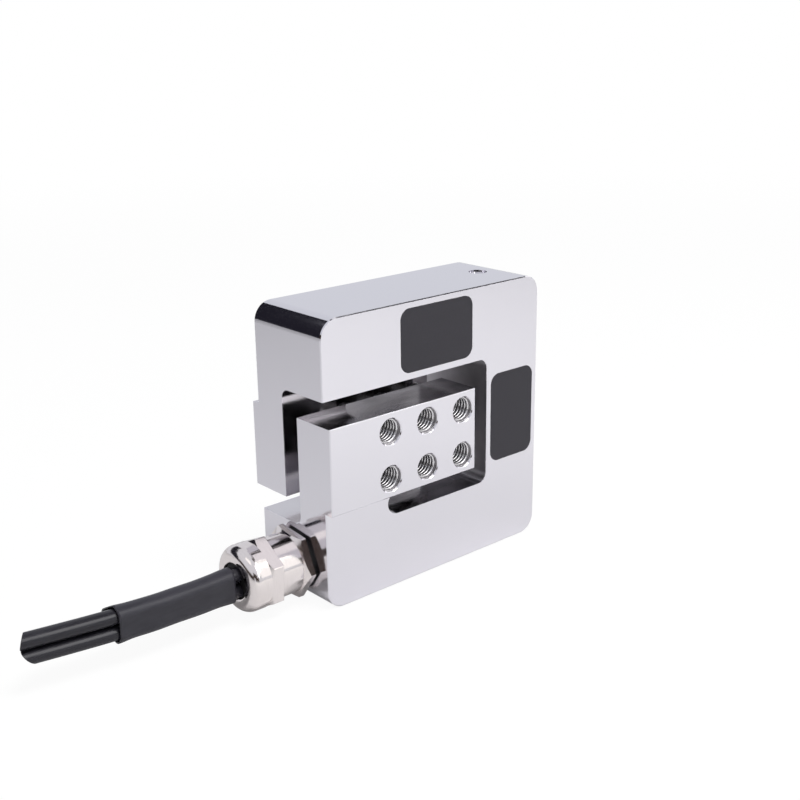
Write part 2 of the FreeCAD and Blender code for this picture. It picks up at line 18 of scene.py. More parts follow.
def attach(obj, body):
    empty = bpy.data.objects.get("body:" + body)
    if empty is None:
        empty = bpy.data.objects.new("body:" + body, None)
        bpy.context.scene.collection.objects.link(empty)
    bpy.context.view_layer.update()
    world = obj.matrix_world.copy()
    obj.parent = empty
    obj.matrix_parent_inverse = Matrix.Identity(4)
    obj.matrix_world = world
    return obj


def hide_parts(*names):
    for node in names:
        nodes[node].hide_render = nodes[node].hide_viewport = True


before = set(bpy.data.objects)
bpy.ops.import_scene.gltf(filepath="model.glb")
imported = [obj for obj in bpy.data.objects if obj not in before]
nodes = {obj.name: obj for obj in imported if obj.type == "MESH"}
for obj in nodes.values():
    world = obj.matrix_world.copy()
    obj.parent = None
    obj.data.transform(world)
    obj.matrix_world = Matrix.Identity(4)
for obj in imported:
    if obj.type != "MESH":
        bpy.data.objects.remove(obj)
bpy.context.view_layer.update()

mm = 0.001

# %% [markdown]
# ## The camera
# The picture was taken from the front left, a little above the block, with a lens of moderate length. A
# camera is easiest to aim by a point that it looks at: the track quaternion turns its minus Z axis
# towards that point. The horizon is tilted by less than a degree, so the camera is rolled by that much
# about its own axis.

# %% Place the camera
camera_place = Vector((-240.38, -271.84, 170.64)) * mm
camera_aim = Vector((-1.73, -0.28, 53.58)) * mm
camera_roll = math.radians(-0.7757)


def add_object(name, data):
    """A new object in the scene."""
    piece = bpy.data.objects.new(name, data)
    bpy.context.scene.collection.objects.link(piece)
    return piece


camera_data = bpy.data.cameras.new("camera")
camera_data.lens = 53.57
camera_data.sensor_width = 36.0
camera_data.clip_start = 0.01
camera = add_object("camera", camera_data)
camera.rotation_mode = "QUATERNION"
camera.location = camera_place
towards_aim = (camera_aim - camera_place).to_track_quat("-Z", "Y")
camera.rotation_quaternion = towards_aim @ Matrix.Rotation(camera_roll, 3, "Z").to_quaternion()
bpy.context.scene.camera = camera
bpy.context.scene.view_settings.view_transform = "Standard"
print(f"camera {(camera_aim - camera_place).length / mm:.0f} mm from its aim")

# %% [markdown]
# ## Three cables
# Each axis of the sensor has its own round cable. The three leave the gland as a bundle, straight at
# first because the seal holds them, and then drift a little to the rear and upwards to their cut ends. A
# cable is a NURBS curve with a round bevel: few control points, one smooth line, and the true diameter.
# Order and end point options are set after the points, or the curve would stay a row of straight runs.

# %% Route the cables
gland_axis = Vector((-45.0, 0.0, 12.0)) * mm
cable_diameter = 4.6 * mm
cable_spacing = 0.25 * mm
cable_pitch_radius = (cable_diameter + cable_spacing) / math.sqrt(3)
cable_angles = {"upper_cable": 120.0, "lower_cable": 240.0, "rear_cable": 0.0}
# Reach from the block's end face, shift to the rear and rise, in millimetres
bundle_route = [
    (-7.0, 0.0, 0.0),
    (35.0, 0.0, 0.0),
    (50.0, 0.35, 0.05),
    (68.0, 1.7, 0.45),
    (91.0, 4.65, 1.3),
]


def around_bundle(radius, angle):
    """A vector square to X, at an angle in degrees from Y towards Z."""
    turn = math.radians(angle)
    return Vector((0.0, radius * math.cos(turn), radius * math.sin(turn)))


def route_curve(name, offset):
    """A smooth line through the bundle's route, moved aside by an offset."""
    line = bpy.data.curves.new(name, "CURVE")
    line.dimensions = "3D"
    spline = line.splines.new("NURBS")
    spline.points.add(len(bundle_route) - 1)
    for point, (reach, to_rear, rise) in zip(spline.points, bundle_route):
        place = gland_axis + Vector((-reach, to_rear, rise)) * mm + offset
        point.co = (*place, 1.0)
    spline.order_u = 3
    spline.use_endpoint_u = True
    spline.resolution_u = 24
    return add_object(name, line)


def as_mesh(piece):
    """The mesh that an object makes: a line of points for a bare curve, a tube once it has a bevel."""
    depsgraph = bpy.context.evaluated_depsgraph_get()
    return bpy.data.meshes.new_from_object(piece.evaluated_get(depsgraph), depsgraph=depsgraph)


def line_points(piece):
    """The points along a curve that has no bevel."""
    return [vertex.co.copy() for vertex in as_mesh(piece).vertices]


bundle_line = route_curve("bundle_line", Vector((0.0, 0.0, 0.0)))
bundle_points = line_points(bundle_line)
bpy.data.objects.remove(bundle_line)
print(f"bundle's line: {len(bundle_points)} points")

# %% [markdown]
# The cables end where a cutter took them off. It was held at a slant and its jaws rounded the bundle's
# end, so each cable has a cut face of its own, the front of the bundle is the longest and the faces look
# away to the rear. A bevel always ends square to its curve, so each tube is made a little too long,
# turned into a mesh and cut by its own plane with a bisect, which keeps one side; the open rim is then
# filled. The centre line is cut at the same plane too, though the result is not kept.

# %% Cut the cables off at a slant
cut_reach = 85.5 * mm
cut_slant = math.radians(33.0)
cut_tilts = {
    "upper_cable": math.radians(14.0),
    "lower_cable": math.radians(-42.0),
    "rear_cable": 0.0,
}
cut_shifts = {
    "upper_cable": Vector((-3.4, -3.3, 1.6)) * mm,
    "lower_cable": Vector((-3.2, -3.3, -0.6)) * mm,
    "rear_cable": Vector((2.5, 0.0, 0.0)) * mm,
}
rim_angle = math.radians(40.0)
cut_middle = min(bundle_points, key=lambda point: abs(gland_axis.x - point.x - cut_reach))


def cut_plane(name):
    """A point on the plane that ends a cable, and the plane's direction away from the kept side."""
    outwards = Vector((-1.0, math.tan(cut_slant), math.tan(cut_tilts[name])))
    return cut_middle + cut_shifts[name], outwards.normalized()


def cut_tube(name, mesh, cut_place, cut_outwards):
    """A tube's mesh cut off by a plane, with its end closed, as a new object."""
    tube = bmesh.new()
    tube.from_mesh(mesh)
    everything = tube.verts[:] + tube.edges[:] + tube.faces[:]
    bmesh.ops.bisect_plane(tube, geom=everything, plane_co=cut_place, plane_no=cut_outwards, clear_outer=True)
    bmesh.ops.holes_fill(tube, edges=[edge for edge in tube.edges if edge.is_boundary])
    bmesh.ops.recalc_face_normals(tube, faces=tube.faces[:])
    tube.to_mesh(mesh)
    tube.free()
    mesh.shade_smooth()
    mesh.set_sharp_from_angle(angle=rim_angle)
    return add_object(name, mesh)


def cut_line(points, cut_place, cut_outwards):
    """The part of a centre line on the kept side of the cut, and its end on the cut."""
    kept = [point for point in points if (point - cut_place).dot(cut_outwards) < 0.0]
    before, after = kept[-1], points[len(kept)]
    run = after - before
    kept.append(before + run * ((cut_place - before).dot(cut_outwards) / run.dot(cut_outwards)))
    return kept


cables = {}
for name, angle in cable_angles.items():
    curve = route_curve(name + "_line", around_bundle(cable_pitch_radius, angle))
    plane = cut_plane(name)
    cut_line(line_points(curve), *plane)
    curve.data.bevel_depth = cable_diameter / 2
    curve.data.bevel_resolution = 8
    curve.data.use_fill_caps = True
    cables[name] = cut_tube(name + "_jacket", as_mesh(curve), *plane)
    bpy.data.objects.remove(curve)

# %% [markdown]
# ## The shrunk sleeve
# A short piece of heat-shrink tube holds the bundle together. Warmed, it pulls tight round the three
# cables, so its section is the outline that a rubber band would take: an arc round each cable and a
# straight run between. It follows the cables' own line, which is why its sections stand on points read
# from the spline. Shrink tube never lies dead flat: slow waves run along it, and its two ends stay
# slightly open.

# %% Sizes of the sleeve
sleeve_start = 25.0 * mm
sleeve_end = 62.0 * mm
sleeve_wall = 0.45 * mm
sleeve_clearance = 0.15 * mm
sleeve_stations = 60
points_per_arc = 14
points_per_run = 8
half_arc = 60.0

near_lip = 0.3 * mm
near_lip_reach = 4.0 * mm
far_lip = 0.35 * mm
far_lip_reach = 3.0 * mm

ripple = 0.05 * mm
quick_wave = 2.3 * mm
quick_sway = 2.0
slow_wave = 4.1 * mm
slow_share = 0.6
slow_lobes = 3.0
print(f"sleeve: {(sleeve_end - sleeve_start) / mm:.0f} mm long")


# %% Lay the sections of the sleeve
def bundle_place(reach):
    """The point of the bundle's line at a distance from the block's end face."""
    for before, after in zip(bundle_points, bundle_points[1:]):
        low = gland_axis.x - before.x
        high = gland_axis.x - after.x
        if low <= reach <= high:
            return before.lerp(after, (reach - low) / (high - low))
    return bundle_points[-1]


def outline_offsets(radius):
    """The outline round the three cables at a distance from each one's centre, from the bundle's centre."""
    offsets = []
    angles = sorted(cable_angles.values())
    for index, angle in enumerate(angles):
        arc = []
        for step in range(points_per_arc):
            swing = half_arc * (2 * step / (points_per_arc - 1) - 1)
            arc.append(around_bundle(cable_pitch_radius, angle) + around_bundle(radius, angle + swing))
        following = angles[(index + 1) % len(angles)]
        run_end = around_bundle(cable_pitch_radius, following) + around_bundle(radius, following - half_arc)
        offsets.extend(arc)
        for step in range(1, points_per_run):
            offsets.append(arc[-1].lerp(run_end, step / points_per_run))
    return offsets


def opening(reach):
    """How far the sleeve stands off the cables at a place along it: a lip at each end."""
    from_start = (reach - sleeve_start) / near_lip_reach
    from_end = (sleeve_end - reach) / far_lip_reach
    return near_lip * math.exp(-from_start * from_start) + far_lip * math.exp(-from_end * from_end)


def wave(reach, angle):
    """Slow waves of the shrunk wall along the sleeve and round it."""
    quick = math.sin(reach / quick_wave + quick_sway * math.sin(angle))
    slow = slow_share * math.sin(reach / slow_wave - slow_lobes * angle)
    return ripple * (quick + slow)


def sleeve_ring(reach, radius):
    """One closed ring of the sleeve's wall, with its waves and its lip."""
    centre = bundle_place(reach)
    ring = []
    for offset in outline_offsets(radius):
        outwards = offset.normalized()
        angle = math.atan2(offset.z, offset.y)
        ring.append(centre + offset + outwards * (opening(reach) + wave(reach, angle)))
    return ring


station_pitch = (sleeve_end - sleeve_start) / (sleeve_stations - 1)
reaches = [sleeve_start + station_pitch * step for step in range(sleeve_stations)]
inner_radius = cable_diameter / 2 + sleeve_clearance
outer_radius = inner_radius + sleeve_wall
outer_rings = [sleeve_ring(reach, outer_radius) for reach in reaches]
inner_rings = [sleeve_ring(reach, inner_radius) for reach in reversed(reaches)]
print(f"{len(outer_rings) + len(inner_rings)} rings of {len(outer_rings[0])} points")

# %% [markdown]
# The rings go out along the outer wall and come back along the inner one, so one closed skin of
# four-sided faces covers the wall and both cut rims. The first ring follows the last, which closes the
# near rim.


# %% Skin the sleeve
def skin_of_rings(name, rings):
    """A closed mesh over rings that run in a loop."""
    count = len(rings[0])
    points = [point for ring in rings for point in ring]
    faces = []
    for index in range(len(rings)):
        here = index * count
        there = ((index + 1) % len(rings)) * count
        for step in range(count):
            following = (step + 1) % count
            faces.append((here + step, here + following, there + following, there + step))
    mesh = bpy.data.meshes.new(name)
    mesh.from_pydata(points, [], faces)
    mesh.shade_smooth()
    return add_object(name, mesh)


sleeve = skin_of_rings("shrunk_sleeve", outer_rings + inner_rings)
print(f"sleeve: {len(sleeve.data.polygons)} faces")

# %% [markdown]
# ## Writing nodes
# Threads and finishes are both written as node trees. Each tree needs the same few steps: add a node, set
# its inputs, link it. Small helpers do that and keep the trees themselves readable.


# %% Helpers that add nodes
def feed(tree, socket, value):
    """Sets an input to a value, or links it to another node's output."""
    if isinstance(value, bpy.types.NodeSocket):
        tree.links.new(value, socket)
    else:
        socket.default_value = value


def add_node(tree, kind, settings=None, **inputs):
    """A new node with its options set and its named inputs fed."""
    made = tree.nodes.new(kind)
    for name, value in (settings or {}).items():
        setattr(made, name, value)
    for name, value in inputs.items():
        feed(tree, made.inputs[name.replace("_", " ")], value)
    return made


def calculate(tree, operation, *values):
    """The output of a Math node on up to three numbers or outputs."""
    made = add_node(tree, "ShaderNodeMath", {"operation": operation})
    for socket, value in zip(made.inputs, values):
        feed(tree, socket, value)
    return made.outputs[0]


print("helpers ready")

# %% [markdown]
# ## Screw threads
# The twelve mounting holes are tapped M8. In the solids they are plain holes at the thread's full
# diameter, so the ridges are added here: one ridge wound as a helix, repeated over three columns and two
# rows, and the whole set turned half a turn about X for the rear plate. Repetition with a rule is what
# Geometry Nodes are for. The tree sweeps a trapezoid along a spiral, puts it on a grid of points and
# joins the turned copy. At the mouth the ridge grows from almost nothing over part of a turn, as a tap
# leaves it, and each hole's ridge starts at its own angle, from a fixed seed.

# %% Sizes of the threads
thread_sizes = {
    "Thread Radius": 4.02 * mm,
    "Crest Radius": 3.35 * mm,
    "Pitch": 1.25 * mm,
    "Turns": 11.8,
    "Run Out": 0.7,
    "Column Pitch": 15.0 * mm,
    "Row Pitch": 15.0 * mm,
}
thread_columns = 3
thread_rows = 2
segments_per_turn = 28
ridge_start = Vector((-7.0, -18.55, 45.0)) * mm
root_share = 0.86
crest_share = 0.25
smallest_ridge = 0.03
largest_start_angle = 0.7
start_angle_seed = 4
block_middle = 45.0 * mm
quarter_turn = math.pi / 2


def new_tree(name, sizes):
    """A geometry tree with a named input for each size and one for the finish."""
    tree = bpy.data.node_groups.new(name, "GeometryNodeTree")
    tree.interface.new_socket(name="Geometry", in_out="OUTPUT", socket_type="NodeSocketGeometry")
    for size in sizes:
        tree.interface.new_socket(name=size, in_out="INPUT", socket_type="NodeSocketFloat")
    tree.interface.new_socket(name="Finish", in_out="INPUT", socket_type="NodeSocketMaterial")
    return tree


print(f"{2 * thread_columns * thread_rows} holes, {thread_sizes['Turns']} turns each")

# %% Build the ridge
thread_tree = new_tree("tapped_holes", thread_sizes)
sizes = thread_tree.nodes.new("NodeGroupInput").outputs
root_radius = sizes["Thread Radius"]
pitch = sizes["Pitch"]

ridge_height = calculate(thread_tree, "SUBTRACT", root_radius, sizes["Crest Radius"])
helix = add_node(
    thread_tree,
    "GeometryNodeCurveSpiral",
    Resolution=segments_per_turn,
    Rotations=sizes["Turns"],
    Start_Radius=root_radius,
    End_Radius=root_radius,
    Height=calculate(thread_tree, "MULTIPLY", pitch, sizes["Turns"]),
    Reverse=True,
)
upright_helix = add_node(
    thread_tree, "GeometryNodeSetCurveNormal", {"mode": "Z_UP"}, Curve=helix.outputs[0]
)
ridge_section = add_node(
    thread_tree,
    "GeometryNodeCurvePrimitiveQuadrilateral",
    {"mode": "TRAPEZOID"},
    Bottom_Width=calculate(thread_tree, "MULTIPLY", pitch, root_share),
    Top_Width=calculate(thread_tree, "MULTIPLY", pitch, crest_share),
    Height=ridge_height,
    Offset=0.0,
)
half_inwards = calculate(thread_tree, "MULTIPLY", ridge_height, -0.5)
section_shift = add_node(thread_tree, "ShaderNodeCombineXYZ", X=half_inwards)
crest_inwards = add_node(
    thread_tree,
    "GeometryNodeTransform",
    Geometry=ridge_section.outputs[0],
    Translation=section_shift.outputs[0],
    Rotation=(0.0, 0.0, quarter_turn),
)
way_along = thread_tree.nodes.new("GeometryNodeSplineParameter").outputs["Factor"]
turns_done = calculate(thread_tree, "MULTIPLY", way_along, sizes["Turns"])
grown = calculate(thread_tree, "DIVIDE", turns_done, sizes["Run Out"])
at_least = calculate(thread_tree, "MAXIMUM", grown, smallest_ridge)
ridge = add_node(
    thread_tree,
    "GeometryNodeCurveToMesh",
    Curve=upright_helix.outputs[0],
    Profile_Curve=crest_inwards.outputs[0],
    Scale=calculate(thread_tree, "MINIMUM", at_least, 1.0),
    Fill_Caps=True,
)
ridge_along_y = add_node(
    thread_tree, "GeometryNodeTransform", Geometry=ridge.outputs[0], Rotation=(-quarter_turn, 0.0, 0.0)
)
print(f"ridge: {len(thread_tree.nodes)} nodes so far")

# %% [markdown]
# The grid node makes its points in the XY plane, so a quarter turn about X stands it up as the front
# plate stands. A Random Value node with a fixed seed gives each hole its starting angle about the hole's
# own axis.

# %% Repeat the ridge over both plates
hole_grid = add_node(
    thread_tree,
    "GeometryNodeMeshGrid",
    Size_X=calculate(thread_tree, "MULTIPLY", sizes["Column Pitch"], thread_columns - 1),
    Size_Y=calculate(thread_tree, "MULTIPLY", sizes["Row Pitch"], thread_rows - 1),
    Vertices_X=thread_columns,
    Vertices_Y=thread_rows,
)
hole_places = add_node(
    thread_tree,
    "GeometryNodeTransform",
    Geometry=hole_grid.outputs[0],
    Translation=ridge_start,
    Rotation=(quarter_turn, 0.0, 0.0),
)
start_angle = add_node(
    thread_tree, "FunctionNodeRandomValue", {"data_type": "FLOAT"}, Seed=start_angle_seed
)
lowest_angle, highest_angle = start_angle.inputs[2:4]
lowest_angle.default_value = 0.0
highest_angle.default_value = largest_start_angle
own_turn = add_node(thread_tree, "ShaderNodeCombineXYZ", Y=start_angle.outputs[1])
front_threads = add_node(
    thread_tree,
    "GeometryNodeInstanceOnPoints",
    Points=hole_places.outputs[0],
    Instance=ridge_along_y.outputs[0],
    Rotation=own_turn.outputs[0],
)
rear_threads = add_node(
    thread_tree,
    "GeometryNodeTransform",
    Geometry=front_threads.outputs[0],
    Translation=(0.0, 0.0, 2 * block_middle),
    Rotation=(2 * quarter_turn, 0.0, 0.0),
)
both_plates = thread_tree.nodes.new("GeometryNodeJoinGeometry")
for plate_threads in (front_threads, rear_threads):
    thread_tree.links.new(plate_threads.outputs[0], both_plates.inputs[0])
realized = add_node(thread_tree, "GeometryNodeRealizeInstances", Geometry=both_plates.outputs[0])
finished = add_node(
    thread_tree, "GeometryNodeSetMaterial", Geometry=realized.outputs[0], Material=sizes["Finish"]
)
add_node(thread_tree, "NodeGroupOutput", Geometry=finished.outputs[0])
print(f"thread tree: {len(thread_tree.nodes)} nodes")

# %% [markdown]
# ## Writing finishes
# Every finish of the sensor is a node tree on Object coordinates, so that a grain or a streak has a size in
# millimetres and stays on the piece from all sides. A value that is the same all over a surface is set on
# the shader's own socket. The helpers mix two tones, ramp a value between two limits and make noise whose
# lumps have a size in metres.


# %% Helpers for finishes
def mix_values(tree, data_type, kind, share, first, second):
    """The output of a Mix node, whose sockets end in the kind of value that they carry."""
    made = add_node(tree, "ShaderNodeMix", {"data_type": data_type})
    sockets = {socket.identifier: socket for socket in made.inputs}
    feed(tree, sockets["Factor_Float"], share)
    feed(tree, sockets["A_" + kind], first)
    feed(tree, sockets["B_" + kind], second)
    results = {socket.identifier: socket for socket in made.outputs}
    return results["Result_" + kind]


def mix_colours(tree, share, first, second):
    """A mix of two colours, each a value or an output."""
    return mix_values(tree, "RGBA", "Color", share, first, second)


def mix_numbers(tree, share, first, second):
    """A mix of two numbers, each a value or an output."""
    return mix_values(tree, "FLOAT", "Float", share, first, second)


def ramp(tree, value, start, end, low=0.0, high=1.0, shape="SMOOTHSTEP"):
    """A number that goes from low to high while a value goes from start to end."""
    made = add_node(
        tree,
        "ShaderNodeMapRange",
        {"interpolation_type": shape},
        Value=value,
        From_Min=start,
        From_Max=end,
        To_Min=low,
        To_Max=high,
    )
    return made.outputs[0]


def spread(tree, noise, low, high):
    """A noise value, which stays near its middle, spread over a range."""
    return ramp(tree, noise, 0.3, 0.7, low, high, "LINEAR")


def colour(red, green, blue):
    """A linear colour from display values of 0 to 255."""
    display = Color((red / 255, green / 255, blue / 255))
    return (*display.from_srgb_to_scene_linear(), 1.0)


def grey(level):
    """A neutral linear colour."""
    return (level, level, level, 1.0)


def new_finish(name):
    """An empty finish: the material, its node tree and its surface shader."""
    material = bpy.data.materials.new(name)
    material.use_nodes = True
    tree = material.node_tree
    return material, tree, tree.nodes["Principled BSDF"]


def object_place(tree):
    """The place of a shaded point in its object's own coordinates."""
    return add_node(tree, "ShaderNodeTexCoord").outputs["Object"]


def object_axes(tree):
    """The X, Y and Z of a shaded point in its object's own coordinates."""
    return add_node(tree, "ShaderNodeSeparateXYZ", Vector=object_place(tree)).outputs


def object_noise(tree, grain, detail=3.0, stretch=(1.0, 1.0, 1.0)):
    """Noise whose lumps are about one grain wide, in metres, or longer along an axis that is stretched."""
    scale = tuple(1.0 / (grain * share) for share in stretch)
    scaled = add_node(tree, "ShaderNodeMapping", Vector=object_place(tree), Scale=scale).outputs[0]
    noise = add_node(tree, "ShaderNodeTexNoise", Vector=scaled, Scale=1.0, Detail=detail)
    return noise.outputs["Fac"]


def raise_grain(tree, shader, height, depth):
    """A fine relief on the shader's normal, of a depth in metres."""
    bump = add_node(tree, "ShaderNodeBump", Height=height, Strength=1.0, Distance=depth)
    feed(tree, shader.inputs["Normal"], bump.outputs[0])


print("finish helpers ready")

# %% [markdown]
# ## Finishes of the metal pieces
# The block is ground, polished and plated with bright nickel: a metal shader with a pale, faintly violet
# grey and a low roughness, broken only by a slow drift in tone and the finest haze. Inside the slots and
# the gap between the plates the cutter's surface stays: end walls are dull, and ledges are smooth with
# streaks along the cutter's path. Their colour is also darker than the steel is, as painted shade in the
# recesses, and the ledges get painted light that makes them brighter towards the open end. One material
# does it all, because it is one block: a mask from Object coordinates picks the region inside the slots.

# %% Where the block is as milled and carries painted shade
slot_ends = (-44.75 * mm, 21.6 * mm)
window_heights = (23.9 * mm, 66.1 * mm)
block_depths = (-15.75 * mm, 15.75 * mm)
plate_heights = (31.4 * mm, 58.6 * mm)
pad_depths = (-18.75 * mm, 18.75 * mm)
steepest_ledge = 0.5


def between(tree, value, limits):
    """1 where a coordinate lies between two limits and 0 elsewhere."""
    low, high = limits
    return calculate(tree, "COMPARE", value, (low + high) / 2, (high - low) / 2)


def milled_and_shaded_region(tree, axes):
    """1 inside the slots and on the sides of the plates, and 0 on the outer faces."""
    in_window = between(tree, axes["Z"], window_heights)
    window = calculate(tree, "MULTIPLY", in_window, between(tree, axes["Y"], block_depths))
    in_plate = between(tree, axes["Z"], plate_heights)
    plates = calculate(tree, "MULTIPLY", in_plate, between(tree, axes["Y"], pad_depths))
    depth = calculate(tree, "MAXIMUM", window, plates)
    return calculate(tree, "MULTIPLY", depth, between(tree, axes["X"], slot_ends))


def on_ledge(tree):
    """1 on faces that look up, down, forwards or back, and 0 on end walls."""
    normal = add_node(tree, "ShaderNodeNewGeometry").outputs["Normal"]
    facing = add_node(tree, "ShaderNodeSeparateXYZ", Vector=normal)
    steepness = calculate(tree, "ABSOLUTE", facing.outputs["X"])
    return calculate(tree, "LESS_THAN", steepness, steepest_ledge)


print("slots from", [round(limit / mm, 2) for limit in slot_ends], "mm")

# %% Plated block
nickel_tones = ((0.735, 0.720, 0.765, 1.0), (0.755, 0.740, 0.785, 1.0))
# Painted shade: slot walls and ledges are darker than steel is, and painted light brightens the ledges
# towards the open end.
wall_tones_with_painted_shade = ((0.44, 0.425, 0.445, 1.0), (0.53, 0.515, 0.535, 1.0))
ledge_tones_with_painted_shade = ((0.25, 0.24, 0.255, 1.0), (0.44, 0.425, 0.445, 1.0))
open_end_painted_light = (0.68, 0.66, 0.685, 1.0)
painted_light_full_until = -38 * mm
painted_light_gone_from = -12 * mm
cutter_mark = 0.03 * mm


def plated_block():
    """Bright nickel outside; in the slots as-milled steel, with painted shade and painted light in its
    colour.
    """
    material, tree, shader = new_finish("plated_block")
    axes = object_axes(tree)
    milled_and_shaded = milled_and_shaded_region(tree, axes)
    ledge = on_ledge(tree)
    drift = object_noise(tree, 30 * mm, 2.0)
    streaks = object_noise(tree, 2.5 * mm, stretch=(6.0, 2.0, 3.0))
    haze = object_noise(tree, 0.6 * mm)

    tone = spread(tree, streaks, 0.0, 1.0)
    # Painted light on the ledges towards the open end, painted shade on walls and ledges deeper in.
    open_end_light = ramp(tree, axes["X"], painted_light_full_until, painted_light_gone_from, 1.0, 0.0)
    ledges = mix_colours(tree, open_end_light, mix_colours(tree, tone, *ledge_tones_with_painted_shade), open_end_painted_light)
    milled_with_painted_shade = mix_colours(tree, ledge, mix_colours(tree, tone, *wall_tones_with_painted_shade), ledges)
    bright = mix_colours(tree, drift, *nickel_tones)
    feed(tree, shader.inputs["Base Color"], mix_colours(tree, milled_and_shaded, bright, milled_with_painted_shade))

    wall_gloss = spread(tree, streaks, 0.34, 0.46)
    ledge_gloss = spread(tree, streaks, 0.07, 0.18)
    milled_gloss = mix_numbers(tree, ledge, wall_gloss, ledge_gloss)
    bright_gloss = spread(tree, haze, 0.07, 0.11)
    feed(tree, shader.inputs["Roughness"], mix_numbers(tree, milled_and_shaded, bright_gloss, milled_gloss))
    shader.inputs["Metallic"].default_value = 1.0
    raise_grain(tree, shader, calculate(tree, "MULTIPLY", milled_and_shaded, streaks), cutter_mark)
    return material


block_finish = plated_block()
print(block_finish.name, len(block_finish.node_tree.nodes), "nodes")

# %% [markdown]
# The gland is turned from brass and nickel plated, so its reflections are warmer than the block's, with
# fine rings from the lathe. The set screw is plain steel, and the tapped threads are cut metal with a
# slight sheen.


# %% Other metal finishes
def metal_finish(name, tones, roughness, grain, stretch):
    """A metal whose tone and roughness vary between two values at a grain's size."""
    material, tree, shader = new_finish(name)
    drift = spread(tree, object_noise(tree, grain, stretch=stretch), 0.0, 1.0)
    feed(tree, shader.inputs["Base Color"], mix_colours(tree, drift, *tones))
    fine = object_noise(tree, grain / 4, stretch=stretch)
    feed(tree, shader.inputs["Roughness"], spread(tree, fine, *roughness))
    shader.inputs["Metallic"].default_value = 1.0
    raise_grain(tree, shader, fine, 0.002 * mm)
    return material


gland_finish = metal_finish(
    "plated_gland",
    tones=((0.790, 0.735, 0.720, 1.0), (0.830, 0.775, 0.760, 1.0)),
    roughness=(0.10, 0.16),
    grain=1.2 * mm,
    stretch=(0.2, 3.0, 3.0),
)
thread_finish = metal_finish(
    "tapped_steel",
    tones=((0.62, 0.61, 0.62, 1.0), (0.74, 0.73, 0.74, 1.0)),
    roughness=(0.15, 0.24),
    grain=0.5 * mm,
    stretch=(3.0, 0.4, 3.0),
)
screw_finish = metal_finish(
    "screw_steel",
    tones=((0.74, 0.73, 0.75, 1.0), (0.84, 0.83, 0.85, 1.0)),
    roughness=(0.14, 0.22),
    grain=0.6 * mm,
    stretch=(2.0, 2.0, 0.3),
)
print("metal finishes:", gland_finish.name, thread_finish.name, screw_finish.name)

# %% [markdown]
# ## Finishes of covers, rubber and plastics
# The dark covers are thin plates with a matt charcoal coat, almost without gloss. Rubber, jackets and the
# sleeve are all near black, and what tells them apart is gloss and grain: the sleeve has a soft sheen and
# is slightly violet, jackets are glossier with faint lines along their length, rubber is deep black and
# matt. One function makes them all, from two close tones, a roughness range, the size of the grain and
# the way it is stretched.


# %% Coats, rubber and plastics
def dull_finish(name, tones, roughness, grain, relief, stretch=(1.0, 1.0, 1.0)):
    """A coat or plastic with two close tones, a drifting gloss and a fine grain."""
    material, tree, shader = new_finish(name)
    drift = object_noise(tree, grain, 4.0, stretch)
    tone = mix_colours(tree, spread(tree, drift, 0.0, 1.0), *tones)
    feed(tree, shader.inputs["Base Color"], tone)
    feed(tree, shader.inputs["Roughness"], spread(tree, drift, *roughness))
    shader.inputs["Specular IOR Level"].default_value = 0.35
    raise_grain(tree, shader, object_noise(tree, grain / 3, stretch=stretch), relief)
    return material


cover_finish = dull_finish(
    "charcoal_coat",
    tones=(colour(43, 41, 47), colour(49, 47, 54)),
    roughness=(0.50, 0.60),
    grain=0.8 * mm,
    relief=0.004 * mm,
)
sleeve_finish = dull_finish(
    "shrunk_tube",
    tones=(colour(43, 42, 49), colour(52, 51, 58)),
    roughness=(0.34, 0.44),
    grain=1.6 * mm,
    relief=0.012 * mm,
    stretch=(4.0, 1.0, 1.0),
)
jacket_finish = dull_finish(
    "cable_jacket",
    tones=(colour(34, 33, 39), colour(42, 41, 47)),
    roughness=(0.18, 0.26),
    grain=1.0 * mm,
    relief=0.006 * mm,
    stretch=(10.0, 1.0, 1.0),
)
seal_finish = dull_finish(
    "seal_rubber",
    tones=(colour(20, 19, 20), colour(27, 26, 27)),
    roughness=(0.55, 0.70),
    grain=0.5 * mm,
    relief=0.01 * mm,
)
washer_finish = dull_finish(
    "washer_rubber",
    tones=(colour(17, 16, 17), colour(24, 23, 24)),
    roughness=(0.5, 0.7),
    grain=0.4 * mm,
    relief=0.01 * mm,
)
print("covers, cables and rubber ready")

# %% [markdown]
# Inside the block and the gland lie pieces that only a cut would show: the clamping claw, the leads and
# the solder boards. They get the plain plastics that such pieces are made of, from the same function.

# %% Plastics inside the block
claw_finish = dull_finish(
    "claw_plastic",
    tones=(colour(44, 44, 46), colour(54, 54, 56)),
    roughness=(0.4, 0.5),
    grain=0.8 * mm,
    relief=0.004 * mm,
)
lead_finish = dull_finish(
    "lead_insulation",
    tones=(colour(178, 60, 52), colour(196, 74, 64)),
    roughness=(0.4, 0.5),
    grain=0.7 * mm,
    relief=0.004 * mm,
)
board_finish = dull_finish(
    "terminal_board",
    tones=(colour(36, 92, 58), colour(46, 108, 70)),
    roughness=(0.35, 0.5),
    grain=0.3 * mm,
    relief=0.004 * mm,
)
print("inner plastics ready")

# %% [markdown]
# A strain gauge is a metal foil etched into thin parallel lines on an amber film. The lines are too fine
# to model one by one, and a Wave texture in bands gives them from a rule: amber where the wave is low,
# foil where it is high.

# %% Gauge film
amber = colour(186, 118, 38)
foil_tone = colour(176, 160, 132)
line_scale = 500.0
foil_level = 0.55
foil_metal = 0.9


